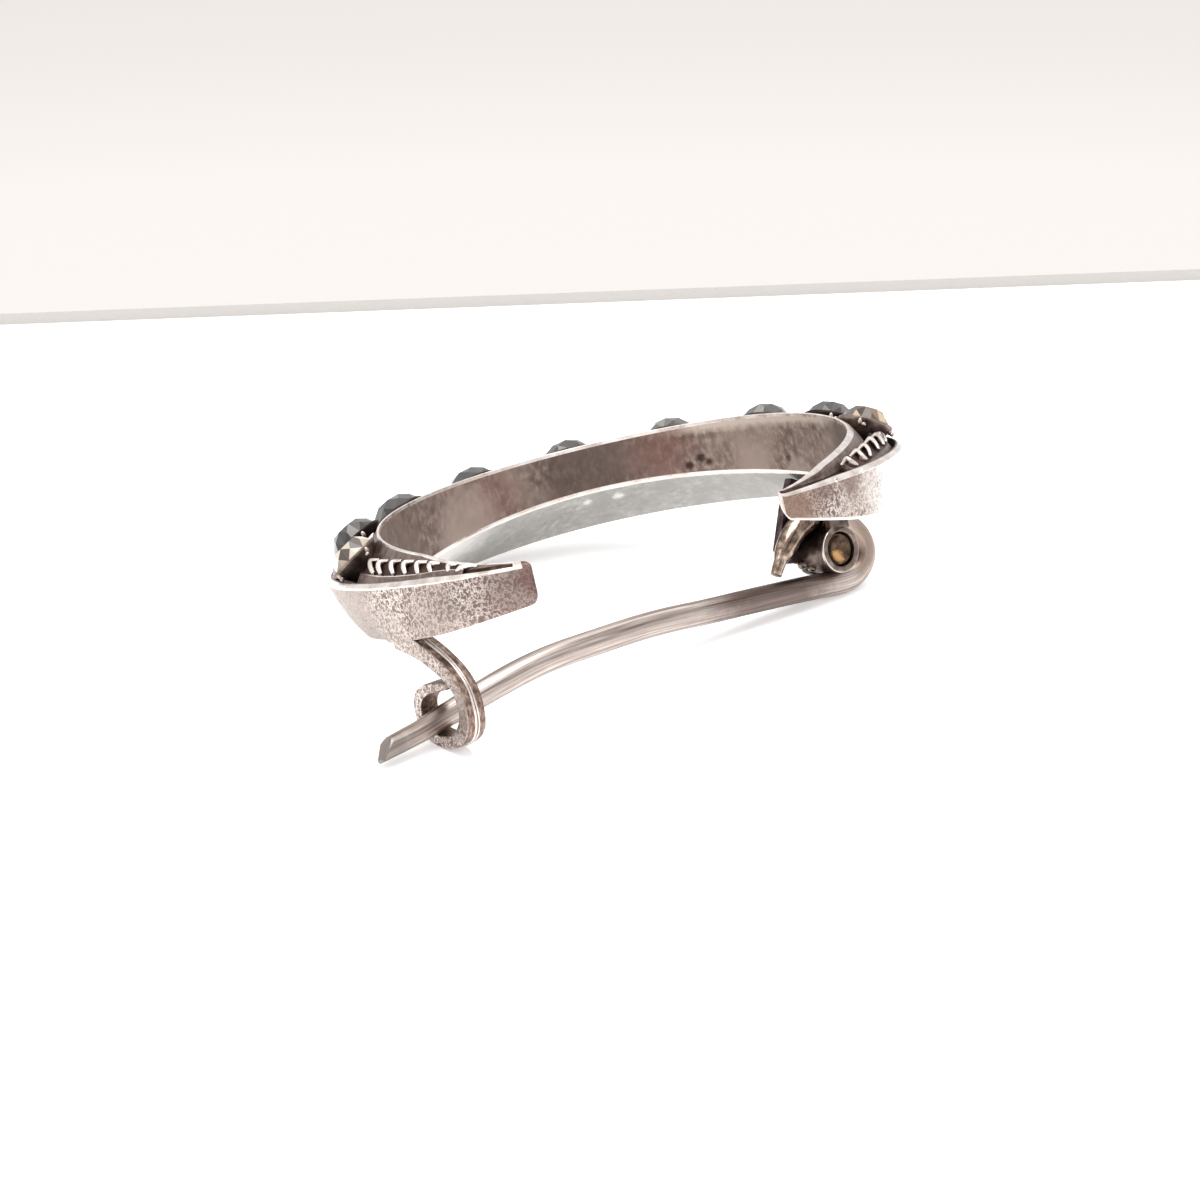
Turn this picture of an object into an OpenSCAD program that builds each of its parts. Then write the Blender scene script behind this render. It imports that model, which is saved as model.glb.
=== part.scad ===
// Crescent brooch: a domed silver crescent set with nine graduated pastes.
// The far side of the jewel carries a wire pin on a tube hinge and a hook catch.
// The shapes are drawn in the crescent's own frame: X across the tips, Y from the
// open side to the closed side, Z towards the stones. The whole jewel is then laid
// down on hinge, catch and back edge, with the lowest point at z = 0. Millimetres.

/* [Crescent] */
// Half width of the outer outline, across the tips
outer_rx = 14; // [13.5:0.1:14.5]
// Half height of the outer outline
outer_ry = 13.4; // [13:0.1:14]
// Half width of the inner outline
inner_rx = 11.2; // [11:0.1:11.3]
// Half height of the inner outline
inner_ry = 11.45; // [11.3:0.05:11.6]
// How far the inner outline is moved towards the open side
inner_shift = 1.8; // [1.7:0.05:1.9]
// Distance of the blunt right tip from the middle line
right_tip_x = 5.7; // [5.6:0.1:6.4]
// Distance of the blunt left tip from the middle line
left_tip_x = 6.2; // [5.6:0.1:6.4]
// Fall of the domed front from the middle to the outer edge, across the tips
dome_across = 5.1; // [4.8:0.1:5.4]
// Fall of the domed front, along the middle line
dome_along = 5.5; // [5.2:0.1:5.8]

// How far the outer rim turns in at the right tip
tip_turn = 0.25; // [0.15:0.05:0.35]
// How much straighter than an ellipse the inner rim of the right limb runs
limb_in = 0.3; // [0.2:0.05:0.4]
// Share by which the left tip is pinched to a thin end
pinch = 0.6; // [0.5:0.05:0.7]

/* [Walls] */
// Depth of the outer wall at the closed end
depth_mid = 2.15; // [2:0.05:2.4]
// Depth of the outer wall half way down each limb
depth_limb = 3.1; // [2.9:0.05:3.3]
// Depth of the outer wall at the tips
depth_tip = 2; // [1.9:0.05:2.2]
// How much of the back edge is filed away at the right tip
filed_right = 0.75; // [0.6:0.05:0.85]
// How much of the back edge is filed away at the left tip
filed_left = 0.25; // [0.15:0.05:0.35]
// How much deeper the left limb is than the right one, as a share
depth_skew = 0.05; // [0:0.01:0.08]
// How much deeper the inner wall is than the outer wall, as a share
inner_deeper = 0.15; // [0.1:0.01:0.2]
// Thickness of the walls round the channel
wall_t = 0.36; // [0.3:0.02:0.42]
// Depth of the channel floor below the rims
floor_drop = 0.75; // [0.6:0.05:0.85]
// Rounding of the rims and back edges
edge_r = 0.1; // [0.06:0.02:0.12]

/* [Stones] */
// Table width over the width of a stone
table_share = 0.58; // [0.5:0.02:0.64]
// Height of the crown over the width of a stone
crown_share = 0.28; // [0.2:0.02:0.32]
// Depth of the pavilion over the width of a stone
pavilion_share = 0.42; // [0.38:0.01:0.44]
// Height of the girdle above the rims
girdle_lift = 0.2; // [0.15:0.05:0.25]
// Gap between a stone and its seat
stone_gap = 0.05; // [0.03:0.01:0.06]
// Width of one claw
claw_d = 0.42; // [0.36:0.02:0.46]

/* [Cut bars on the tips] */
// Number of bars on each limb
bar_count = 7; // [5:1:8]
// Thickness of one bar
bar_t = 0.2; // [0.16:0.02:0.24]
// How far the tops of the bars lie below the rims
bar_drop = 0.14; // [0.1:0.02:0.2]

/* [Pin and hinge] */
// Diameter of the pin wire
wire_d = 1.24; // [1.16:0.02:1.28]
// Turn of the pin's line from the line across the tips
pin_turn = 28; // [27:0.5:29]
// Outer diameter of the hinge tube
tube_d = 2.1; // [2:0.02:2.16]
// Bore of the hinge tube
tube_bore = 1.7; // [1.64:0.02:1.72]
// Depth of the hinge axis behind the tips' rims
hinge_z = 4.95; // [4.9:0.05:5.0]

/* [Catch] */
// Width of the catch strip along the pin
catch_w = 1; // [0.9:0.05:1.1]
// Thickness of the catch strip
catch_t = 0.7; // [0.64:0.02:0.74]

/* [Hidden] */
silver = "#b5a9a4";
wire_brown = "#8f8079";
paste = "#6b5d55";

// How the jewel lies: turned about X, then about Y, then moved so that the
// middle of its box is over the origin and its lowest points are at z = 0
lie_x = -18.294;
lie_y = -8.868;
lie_shift_x = -0.032;
lie_shift_y = -0.432;
lie_lift = 6.5509;

// Lean of the outer wall at the closed end and on the limbs, and of the inner wall,
// over the slope of the dome; the walls stand upright at the tips
lean_mid = 0.31;
lean_limb = 0.6;
lean_inner = -0.12;

// Shares of the crescent's length, from a tip, over which its changes fade away
tip_turn_to = 0.13;
limb_in_to = 0.06;
pinch_to = 0.1;
filed_right_to = 0.08;
filed_left_to = 0.06;

// Stones along the outer outline: [angle, width]
STONES = [
    [0, 2.45], [18.5, 2.55], [40, 2.85],
    [65, 3.05], [89.5, 3.15], [114, 3.05],
    [138, 2.9], [162, 2.7], [185, 2.45]
];
claw_angles = [45, 135, 225, 315];
claw_foot = 0.35;
claw_top = 0.24;

// Outline angles of the right limb's first and last bar, and their widths
bar_start = -9;
bar_end = -42;
bar_wide = 1.15;
bar_narrow = 0.35;

// Hinge axis in plan, and half the length of its tube
hinge_x = 10.45;
hinge_y = 4.15;
tube_half = 1.15;
lug_t = 0.45;
rivet_d = 1.52;

// Middle of the pin wire from its point, round the tube, to the tail's end:
// [along, height, radius]
PIN = [
    [-28.1, -6.88, 0.34], [-27.6, -6.82, 0.42], [-26.6, -6.7, 0.46], [-25.4, -6.54, 0.5],
    [-24.2, -6.3, 0.52], [-23.2, -6.15, 0.57], [-22.2, -5.96, 0.6], [-20.6, -5.7, 0.62],
    [-19, -5.5, 0.62], [-17.2, -5.4, 0.62], [-14.8, -5.42, 0.62], [-12.4, -5.47, 0.62],
    [-10.4, -5.6, 0.62], [-8, -5.85, 0.62], [-5.4, -6.08, 0.62], [-2.6, -6.35, 0.62],
    [-0.9, -6.54, 0.62], [0.35, -6.67, 0.62], [1.1, -6.62, 0.62], [1.75, -6.35, 0.62],
    [2.2, -5.9, 0.62], [2.33, -5.4, 0.62], [2.2, -4.85, 0.62], [1.83, -4.3, 0.62],
    [1.28, -3.76, 0.62], [0.6, -3.33, 0.62], [-0.2, -3.22, 0.62], [-0.9, -3.29, 0.62],
    [-1.6, -3.54, 0.58], [-2.15, -3.92, 0.5], [-2.6, -4.32, 0.44], [-2.85, -4.56, 0.38],
    [-2.98, -4.7, 0.27], [-3.22, -5, 0.25], [-3.45, -5.3, 0.24]
];
wire_sides = 12;

// Middle of the catch strip, seen along the pin: [across, height, thickness factor]
CATCH = [
    [3.4, -1.9, 1.5], [2.2, -2.25, 1.5], [1.1, -2.6, 1.4], [0, -3.05, 1.25],
    [-0.95, -3.6, 1.15], [-1.75, -4.2, 1.05], [-2.3, -4.9, 1], [-2.45, -5.6, 1],
    [-2.38, -6.3, 1.05], [-2, -6.9, 1.1], [-1.3, -7.28, 0.95], [-0.5, -7.35, 0.85],
    [0.3, -7.15, 0.8], [0.85, -6.7, 0.8], [1.08, -6, 0.8], [1, -5.35, 0.8],
    [0.6, -4.95, 0.8], [-0.1, -4.83, 0.7], [-0.8, -4.78, 0.6], [-1.5, -4.75, 0.5]
];
catch_x = -24.25;

steps = 64;
outer_start = -acos(right_tip_x / outer_rx);
outer_sweep = 180 + acos(left_tip_x / outer_rx) - outer_start;
inner_start = -acos(right_tip_x / inner_rx);
inner_sweep = 180 + acos(left_tip_x / inner_rx) - inner_start;

// Small helpers
function unit(v) = v / norm(v);
function mix(a, b, k) = a + (b - a) * k;
function clamp(x) = max(0, min(1, x));
function flat(lists) = [for (l = lists) for (e = l) e];
function middle(ring) = [for (k = [0:2]) let (s = [for (p = ring) p[k]]) total(s) / len(s)];
function total(v, i = 0) = i == len(v) ? 0 : v[i] + total(v, i + 1);

// Height of the domed front over a point, and the way its walls go down
function front_z(p) = dome_across * (1 - pow(p[0] / outer_rx, 2))
    - dome_along * pow(p[1] / outer_rx, 2);
function wall_up(p, lean) = unit([
    lean * 2 * dome_across * p[0] / pow(outer_rx, 2),
    lean * 2 * dome_along * p[1] / pow(outer_rx, 2),
    1]);

// 1 at t = 0, falling to 0 at t = to
function near(t, to) = clamp(1 - t / to);

// A value that changes from the closed end to the limbs and on to the tips
function along(a, mid, limb, tip) = sin(a) > 0
    ? limb + (mid - limb) * pow(sin(a), 2)
    : limb + (tip - limb) * pow(clamp(-sin(a) / 0.9), 1.5);

// Outline points at share t of the way from the right tip to the left tip
function outer_angle(t) = outer_start + outer_sweep * t;
function inner_angle(t) = inner_start + inner_sweep * t;
function outer_at(t) = let (a = outer_angle(t))
    [outer_rx * cos(a), outer_ry * sin(a) + tip_turn * pow(near(t, tip_turn_to), 1.5)];
function inner_at(t) =
    let (
        b = inner_angle(t),
        on_right_limb = cos(b) > 0 && sin(b) < 0,
        in = on_right_limb ? limb_in * pow(sin(2 * b), 2) * (1 - near(t, limb_in_to)) : 0,
        ellipse = [inner_rx * cos(b) - in, inner_ry * sin(b) - inner_shift]
    )
    mix(ellipse, outer_at(t), pinch * pow(near(1 - t, pinch_to), 1.3));
function share_of(angle) = (angle - outer_start) / outer_sweep;
function wall_depth(t) =
    let (a = outer_angle(t))
    along(a, depth_mid, depth_limb, depth_tip) * (1 - depth_skew * cos(a))
    - filed_right * pow(near(t, filed_right_to), 1.5)
    - filed_left * pow(near(1 - t, filed_left_to), 1.5);

// One section through the crescent, as a closed ring of points
function section(t) =
    let (
        o = outer_at(t),
        i = inner_at(t),
        w = norm(o - i),
        e = unit(o - i),
        a = outer_angle(t),
        wall = min(wall_t, 0.3 * w),
        drop = max(edge_r * 1.4, floor_drop * clamp((w - 0.9) / 1.1)),
        up_o = wall_up(o, along(a, lean_mid, lean_limb, 0)),
        up_i = wall_up(i, along(a, lean_inner, lean_inner, 0)),
        top_o = [o[0], o[1], front_z(o)],
        top_i = [i[0], i[1], front_z(i)],
        deep_o = wall_depth(t),
        deep_i = deep_o * (1 + along(a, inner_deeper, inner_deeper, 0)),
        back_o = top_o - up_o * deep_o,
        back_i = top_i - up_i * deep_i
    )
    [
        top_o - up_o * edge_r,
        on_front(i, e, w - 0.25 * wall, 0),
        on_front(i, e, w - 0.75 * wall, 0),
        on_front(i, e, w - wall, edge_r),
        on_front(i, e, w - 1.15 * wall, drop),
        on_front(i, e, w / 2, drop),
        on_front(i, e, 1.15 * wall, drop),
        on_front(i, e, wall, edge_r),
        on_front(i, e, 0.75 * wall, 0),
        on_front(i, e, 0.25 * wall, 0),
        top_i - up_i * edge_r,
        top_i - up_i * (deep_i - edge_r),
        mix(back_i, back_o, edge_r / w),
        mix(back_i, back_o, 1 - edge_r / w),
        top_o - up_o * (deep_o - edge_r)
    ];
function on_front(i, e, x, h) = let (p = i + e * x) [p[0], p[1], front_z(p) - h];

// A section drawn in towards its middle and moved on, to round a tip
function tip_section(t, back_t, size, move) =
    let (
        ring = section(t),
        m = middle(ring),
        out = unit(m - middle(section(back_t)))
    )
    [for (p = ring) mix(m, p, size) + out * move];

// A closed skin over a row of rings, with a fan over each end
module skin(rings) {
    n = len(rings[0]);
    last = len(rings) - 1;
    points = concat(flat(rings), [middle(rings[0]), middle(rings[last])]);
    sides = [
        for (r = [0:last - 1])
        for (k = [0:n - 1])
        let (a = r * n + k, b = r * n + (k + 1) % n)
        each [[a, b, a + n], [b, b + n, a + n]]
    ];
    ends = [
        for (k = [0:n - 1])
        each [
            [k, (last + 1) * n, (k + 1) % n],
            [last * n + k, last * n + (k + 1) % n, (last + 1) * n + 1]
        ]
    ];
    polyhedron(points, concat(sides, ends), convexity = 8);
}

module crescent() {
    skin(concat(
        [tip_section(0, 1 / steps, 0.6, 0.2), tip_section(0, 1 / steps, 0.88, 0.13)],
        [for (k = [0:steps]) section(k / steps)],
        [tip_section(1, 1 - 1 / steps, 0.88, 0.13), tip_section(1, 1 - 1 / steps, 0.6, 0.2)]
    ));
}

// Puts its children on the front at an outline angle, square to the dome,
// with X pointing across the channel and outwards
module on_channel(angle) {
    t = share_of(angle);
    p = mix(inner_at(t), outer_at(t), 0.5);
    out = outer_at(t) - inner_at(t);
    fall = (front_z(inner_at(t)) - front_z(outer_at(t))) / norm(out);
    translate([p[0], p[1], front_z(p)])
        rotate([0, 0, atan2(out[1], out[0])])
        rotate([0, atan(fall), 0])
        children();
}

// Cut stone with its girdle at z = 0: table, eight stars, eight kites,
// sixteen upper and sixteen lower halves and eight mains
module cut_stone(d) {
    r = d / 2;
    table_r = r * table_share;
    crown = d * crown_share;
    deep = d * pavilion_share;
    star_r = mix(table_r, r, 0.55);
    star_z = crown * (r - star_r * cos(22.5)) / (r - table_r);
    low_r = r * 0.45;
    low_z = -deep * (r - low_r * cos(22.5)) / r;
    belt = 0.03;
    points = concat(
        [for (k = [0:7]) [table_r * cos(45 * k), table_r * sin(45 * k), crown]],
        [for (k = [0:7]) [star_r * cos(45 * k + 22.5), star_r * sin(45 * k + 22.5), star_z]],
        [for (k = [0:15]) [r * cos(22.5 * k), r * sin(22.5 * k), belt]],
        [for (k = [0:15]) [r * cos(22.5 * k), r * sin(22.5 * k), -belt]],
        [for (k = [0:7]) [low_r * cos(45 * k + 22.5), low_r * sin(45 * k + 22.5), low_z]],
        [[0, 0, crown], [0, 0, -deep]]
    );
    faces = [
        for (k = [0:7])
        let (
            n = (k + 1) % 8,
            star = 8 + k,
            g0 = 16 + 2 * k,
            g1 = 16 + 2 * k + 1,
            g2 = 16 + (2 * k + 2) % 16,
            low = 48 + k
        )
        each [
            [56, n, k], [k, n, star],
            [k, star, g0], [n, g2, star],
            [star, g1, g0], [star, g2, g1],
            [g0, g1, g0 + 16], [g1, g1 + 16, g0 + 16],
            [g1, g2, g1 + 16], [g2, g2 + 16, g1 + 16],
            [low, g0 + 16, g1 + 16], [low, g1 + 16, g2 + 16],
            [57, g0 + 16, low], [57, low, g2 + 16]
        ]
    ];
    polyhedron(points, faces, convexity = 2);
}

// Space that a stone and its gap take out of the metal
module stone_space(d) {
    r = d / 2 + stone_gap;
    deep = d * pavilion_share + 2 * stone_gap;
    crown = d * crown_share;
    translate([0, 0, -deep])
        cylinder(h = deep, r1 = 0, r2 = r, $fn = 48);
    cylinder(h = 0.08, r = r, $fn = 48);
    translate([0, 0, 0.08])
        cylinder(h = crown, r1 = r, r2 = r * table_share, $fn = 48);
}

// Cup and claws that hold a stone, standing on the channel floor
module stone_cup(d) {
    r = d / 2;
    foot = floor_drop + girdle_lift + 0.15;
    translate([0, 0, -foot])
        cylinder(h = foot, r1 = r * 0.5, r2 = r + 0.08, $fn = 48);
    for (a = claw_angles)
        rotate([0, 0, a])
        translate([r + 0.02, 0, -claw_foot])
        cylinder(h = claw_foot + claw_top, d = claw_d, $fn = 16);
}

// One row of upright bars left by the graver between the last stone and a tip
module cut_bars(side) {
    foot = floor_drop + 0.1;
    for (k = [0:bar_count - 1]) {
        share = k / (bar_count - 1);
        angle = mix(bar_start, bar_end, share);
        wide = mix(bar_wide, bar_narrow, share);
        on_channel(side > 0 ? angle : 180 - angle)
            translate([-wide / 2, -bar_t / 2, -foot])
            cube([wide, bar_t, foot - bar_drop]);
    }
}

// Frame of the hinge and catch: X runs along the pin away from its point,
// and the hinge axis lies along Y through the origin, at the tips' height
module on_pin_line() {
    translate([hinge_x, hinge_y, 0])
        rotate([0, 0, pin_turn])
        children();
}

module hinge_tube() {
    translate([0, 0, -hinge_z])
        rotate([90, 0, 0])
        cylinder(h = 2 * tube_half, d = tube_d, center = true, $fn = 64);
}

module hinge_bore() {
    translate([0, 0, -hinge_z])
        rotate([90, 0, 0])
        cylinder(h = 2 * tube_half + 2, d = tube_bore, center = true, $fn = 64);
}

// Strap at the near end of the tube, up into the limb
module near_strap() {
    translate([-0.35, -tube_half, -hinge_z + tube_bore / 2 + 0.05])
        cube([1.2, lug_t, 2.5]);
}

// Plate at the far end of the tube, which the tail of the wire rests beside
module far_plate() {
    translate([0, tube_half, 0])
        rotate([90, 0, 0])
        linear_extrude(lug_t)
        difference() {
            union() {
                polygon([
                    [1, -1.9], [-0.6, -1.1], [-1.45, -2.4], [-2.4, -4.3],
                    [-2, -5.1], [-1, -5.3], [1, -4.6]
                ]);
                translate([0, -hinge_z])
                    circle(d = tube_d + 0.3, $fn = 64);
            }
            translate([0, -hinge_z])
                circle(d = tube_bore, $fn = 64);
        }
}

// Smooth curve through a row of [x, y, value] rows
function curve(rows, parts) = concat(
    [
        for (i = [0:len(rows) - 2])
        for (k = [0:parts - 1])
        let (
            u = k / parts,
            p0 = rows[max(i - 1, 0)],
            p1 = rows[i],
            p2 = rows[i + 1],
            p3 = rows[min(i + 2, len(rows) - 1)]
        )
        0.5 * (2 * p1 + (p2 - p0) * u + (2 * p0 - 5 * p1 + 4 * p2 - p3) * u * u
            + (3 * p1 - p0 - 3 * p2 + p3) * u * u * u)
    ],
    [rows[len(rows) - 1]]
);
function heading(line, i) = unit([
    line[min(i + 1, len(line) - 1)][0] - line[max(i - 1, 0)][0],
    line[min(i + 1, len(line) - 1)][1] - line[max(i - 1, 0)][1]]);

// Hook catch: a strip bent nearly shut round the pin
module catch_hook() {
    line = curve(CATCH, 4);
    edge = function(side) [
        for (i = [0:len(line) - 1])
        let (h = heading(line, i), half = catch_t / 2 * line[i][2] * side)
        [line[i][0] - h[1] * half, line[i][1] + h[0] * half]
    ];
    left = edge(1);
    right = edge(-1);
    translate([catch_x - catch_w / 2, 0, 0])
        rotate([90, 0, 90])
        linear_extrude(catch_w)
        polygon(concat(left, [for (i = [len(right) - 1:-1:0]) right[i]]));
}

// All the silver that is soldered together
module silver_frame() {
    color(silver)
    lay_down()
    difference() {
        union() {
            crescent();
            for (s = STONES)
                on_channel(s[0])
                translate([0, 0, girdle_lift])
                stone_cup(s[1]);
            cut_bars(1);
            cut_bars(-1);
            on_pin_line() {
                hinge_tube();
                near_strap();
                far_plate();
                catch_hook();
            }
        }
        for (s = STONES)
            on_channel(s[0])
            translate([0, 0, girdle_lift])
            stone_space(s[1]);
        on_pin_line()
            hinge_bore();
    }
}

// Rivet that fills the hinge tube, its near end a little inside the rim
module hinge_rivet() {
    color(wire_brown)
    lay_down()
    on_pin_line()
    translate([0, 0, -hinge_z])
    rotate([90, 0, 0])
    translate([0, 0, -tube_half])
    cylinder(h = 2 * tube_half - 0.25, d = rivet_d, $fn = 48);
}

// Pin: tapered wire, bent round the tube, with a short tail
module pin_stem() {
    line = curve(PIN, 2);
    rings = [
        for (i = [0:len(line) - 1])
        let (h = heading(line, i), r = line[i][2])
        [
            for (k = [0:wire_sides - 1])
            let (a = 360 * k / wire_sides, side = r * cos(a), up = r * sin(a))
            [line[i][0] - h[1] * up, -side, line[i][1] + h[0] * up]
        ]
    ];
    color(wire_brown)
    lay_down()
    on_pin_line()
    skin(rings);
}

module stone(i) {
    color(paste)
    lay_down()
    on_channel(STONES[i][0])
    translate([0, 0, girdle_lift])
    cut_stone(STONES[i][1]);
}

module lay_down() {
    translate([lie_shift_x, lie_shift_y, lie_lift])
        rotate([lie_x, lie_y, 0])
        children();
}

silver_frame();
hinge_rivet();
pin_stem();
stone(0);  // stone_1
stone(1);  // stone_2
stone(2);  // stone_3
stone(3);  // stone_4
stone(4);  // stone_5
stone(5);  // stone_6
stone(6);  // stone_7
stone(7);  // stone_8
stone(8);  // stone_9
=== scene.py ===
"""Looks of a crescent brooch: a domed silver crescent with nine cut stones, a wire pin on a tube
hinge and a hook catch, lying stones up on a white table.

Shapes are worked out in the brooch's own frame in millimetres: X across the tips, Y from the open
side to the closed side, Z towards the stones. lay_down() turns them the way the brooch rests and
gives metres in the row frame.
"""

import bpy
import numpy as np
from mathutils import Matrix, Vector


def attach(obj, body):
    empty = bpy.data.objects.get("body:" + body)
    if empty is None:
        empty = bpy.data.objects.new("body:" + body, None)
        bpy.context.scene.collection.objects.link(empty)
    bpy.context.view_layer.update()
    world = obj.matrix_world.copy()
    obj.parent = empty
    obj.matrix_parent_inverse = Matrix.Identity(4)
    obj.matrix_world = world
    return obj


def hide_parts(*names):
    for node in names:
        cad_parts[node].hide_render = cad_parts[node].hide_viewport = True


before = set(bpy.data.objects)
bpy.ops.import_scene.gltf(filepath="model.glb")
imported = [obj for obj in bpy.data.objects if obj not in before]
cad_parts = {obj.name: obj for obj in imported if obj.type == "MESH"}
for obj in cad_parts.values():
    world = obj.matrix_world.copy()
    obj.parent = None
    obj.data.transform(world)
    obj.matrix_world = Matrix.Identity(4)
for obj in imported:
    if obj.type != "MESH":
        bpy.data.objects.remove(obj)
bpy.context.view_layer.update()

MM = 0.001

# The crescent, as in the solids: lengths in mm, and names in TO and FROM as shares of the way
# from one tip to the other
OUTER_RX, OUTER_RY = 14.0, 13.4
INNER_RX, INNER_RY, INNER_SHIFT = 11.2, 11.45, 1.8
RIGHT_TIP_X, LEFT_TIP_X = 5.7, 6.2
TIP_TURN, TIP_TURN_TO = 0.25, 0.13
LIMB_IN, LIMB_IN_FROM = 0.3, 0.06
PINCH, PINCH_TO = 0.6, 0.1
DOME_ACROSS, DOME_ALONG = 5.1, 5.5
DEPTH_MID, DEPTH_LIMB, DEPTH_TIP, DEPTH_SKEW = 2.15, 3.1, 2.0, 0.05
FILED_RIGHT, FILED_RIGHT_TO = 0.75, 0.08
FILED_LEFT, FILED_LEFT_TO = 0.25, 0.06
INNER_DEEPER = 0.15
LEAN_MID, LEAN_LIMB, LEAN_INNER = 0.31, 0.6, -0.12
WALL = 0.36
FLOOR_DROP, FLOOR_EASE = 0.75, 1.1

# The crescent's finer shape: width below which the channel closes, how far the left wall bulges,
# how far the left limb's back edge is lifted, and how far the tips' ends reach past the section
MERGED_W = 0.33
BULGE, LEFT_LIFT = 0.18, 0.18
TIP_ROUND = 0.45
TIP_BENDS = np.radians([15, 30, 45, 60, 75, 90])
# for each tip: its station, the next one in, how far its end holds to the rim, and how far its
# height closes
TIPS = ((0, 1, 0.9, 0.6), (-1, -2, 0.0, 0.45))
STATIONS, STATION_END = 520, 0.003
RING_PARTS = 3

# How it lies: turned in degrees and shifted in mm
LIE_X, LIE_Y = -18.294, -8.868
LIE_SHIFT = np.array([-0.032, -0.432, 6.5509])

# Stones: outline angle and width
STONES = [(0, 2.45), (18.5, 2.55), (40, 2.85), (65, 3.05), (89.5, 3.15),
          (114, 3.05), (138, 2.9), (162, 2.7), (185, 2.45)]
GIRDLE_LIFT = 0.2
CUP_DEEP, CLAW_OUT = 1.0, 0.03
DIAGONAL = 0.7071

# Hinge and pin
PIN_TURN = 28.0
HINGE_X, HINGE_Y, HINGE_Z = 10.45, 4.15, 4.95
TUBE_R, BORE_R, TUBE_HALF = 1.05, 0.85, 1.15
TUBE_EDGE, LIP = 0.05, 0.1
RIVET_R = 0.76
LUG_T, PLATE_BEVEL = 0.45, 0.06
WIRE_R = 0.62

# Middle of the pin wire from its point, round the tube, to the tail: along, height, radius
PIN = np.array([
    [-28.1, -6.88, 0.46], [-27.6, -6.82, 0.48], [-26.6, -6.7, 0.5], [-25.4, -6.54, 0.52],
    [-24.2, -6.3, 0.55], [-23.2, -6.15, 0.59], [-22.2, -5.96, 0.6], [-20.6, -5.7, WIRE_R],
    [-19, -5.5, WIRE_R], [-17.2, -5.4, WIRE_R], [-14.8, -5.42, WIRE_R], [-12.4, -5.47, WIRE_R],
    [-10.4, -5.6, WIRE_R], [-8, -5.85, WIRE_R], [-5.4, -6.08, WIRE_R], [-2.6, -6.35, WIRE_R],
    [-0.9, -6.54, WIRE_R], [0.35, -6.67, WIRE_R], [1.1, -6.62, WIRE_R], [1.75, -6.35, WIRE_R],
    [2.2, -5.9, WIRE_R], [2.33, -5.4, WIRE_R], [2.2, -4.85, WIRE_R], [1.83, -4.3, WIRE_R],
    [1.28, -3.76, WIRE_R], [0.6, -3.33, WIRE_R], [-0.2, -3.22, WIRE_R], [-0.9, -3.29, WIRE_R],
    [-1.6, -3.54, 0.6], [-2.15, -3.92, 0.55], [-2.6, -4.32, 0.49], [-2.85, -4.56, 0.4],
    [-2.98, -4.7, 0.32], [-3.22, -5, 0.3], [-3.45, -5.3, 0.27]])
PIN_PARTS = 10
# row from which the wire is polished
TAIL_ROW = 26
# the two cuts of the point: distance from the wire's middle at the very end, and its change per mm
CUT_BELOW, CUT_BESIDE = (-0.3, 0.9), (-0.12, -0.5)

# Middle of the catch strip, seen along the pin: across, height, share of full thickness
CATCH = np.array([
    [2.9, -2.05, 1.4], [2.1, -2.3, 1.5], [1.1, -2.6, 1.4], [0, -3.05, 1.25],
    [-0.95, -3.6, 1.15], [-1.75, -4.2, 1.05], [-2.3, -4.9, 1], [-2.45, -5.6, 1],
    [-2.38, -6.3, 1.05], [-2, -6.9, 1.1], [-1.3, -7.28, 0.95], [-0.5, -7.35, 0.85],
    [0.3, -7.15, 0.8], [0.85, -6.7, 0.8], [1.08, -6.15, 0.8], [1.02, -5.6, 0.8],
    [0.7, -5.15, 0.8], [0.15, -4.9, 0.75], [-0.5, -4.8, 0.65], [-1.5, -4.75, 0.5]])
CATCH_X, CATCH_W, CATCH_T = -24.25, 1.0, 0.7
CATCH_PARTS = 8
# power of the strip's section: 2 is an ellipse, and high powers are near to a rectangle
CATCH_SQUARE = 14
# the strip's top end is moved in under the limb, from this distance across on
TOP_IN, TOP_IN_FROM, TOP_IN_OVER = 0.6, 1.4, 1.2
# the raised line runs on the outer broad face, over this stretch of the strip's rows
BURR_FACE, BURR_ROWS = -1, slice(24, 96)


# Frames
def turn(axis, degrees):
    """3x3 turn about a main axis."""
    return np.array(Matrix.Rotation(np.radians(degrees), 3, axis))


LIE = turn("Y", LIE_Y) @ turn("X", LIE_X)


def lay_down(points):
    """Brooch frame in mm to row frame in metres: turned about X, then Y, then shifted."""
    return (points @ LIE.T + LIE_SHIFT) * MM


def pin_line(points):
    """Pin line's frame (X along the pin, Y away from the viewer, Z up) to brooch frame."""
    return points @ turn("Z", PIN_TURN).T + np.array([HINGE_X, HINGE_Y, 0])


def in_pin_line(points):
    """Brooch frame to the pin line's frame."""
    return (points - np.array([HINGE_X, HINGE_Y, 0])) @ turn("Z", PIN_TURN)


# Crescent formulas
def smooth01(x):
    """0 to 1 with level ends: 3 x squared less 2 x cubed."""
    x = np.clip(x, 0, 1)
    return x * x * (3 - 2 * x)


def angles(t):
    """Outer and inner outline angle in radians at share t from the right to the left tip."""
    pair = []
    for rx in (OUTER_RX, INNER_RX):
        start = -np.arccos(RIGHT_TIP_X / rx)
        sweep = np.pi + np.arccos(LEFT_TIP_X / rx) - start
        pair.append(start + sweep * t)
    return pair


def share_of(angle):
    """Share t of an outer outline angle in degrees."""
    start = -np.degrees(np.arccos(RIGHT_TIP_X / OUTER_RX))
    sweep = 180 + np.degrees(np.arccos(LEFT_TIP_X / OUTER_RX)) - start
    return (np.asarray(angle, float) - start) / sweep


def near(t, to):
    """1 at t = 0, falling to 0 at t = to."""
    return np.clip(1 - t / to, 0, 1)


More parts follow.
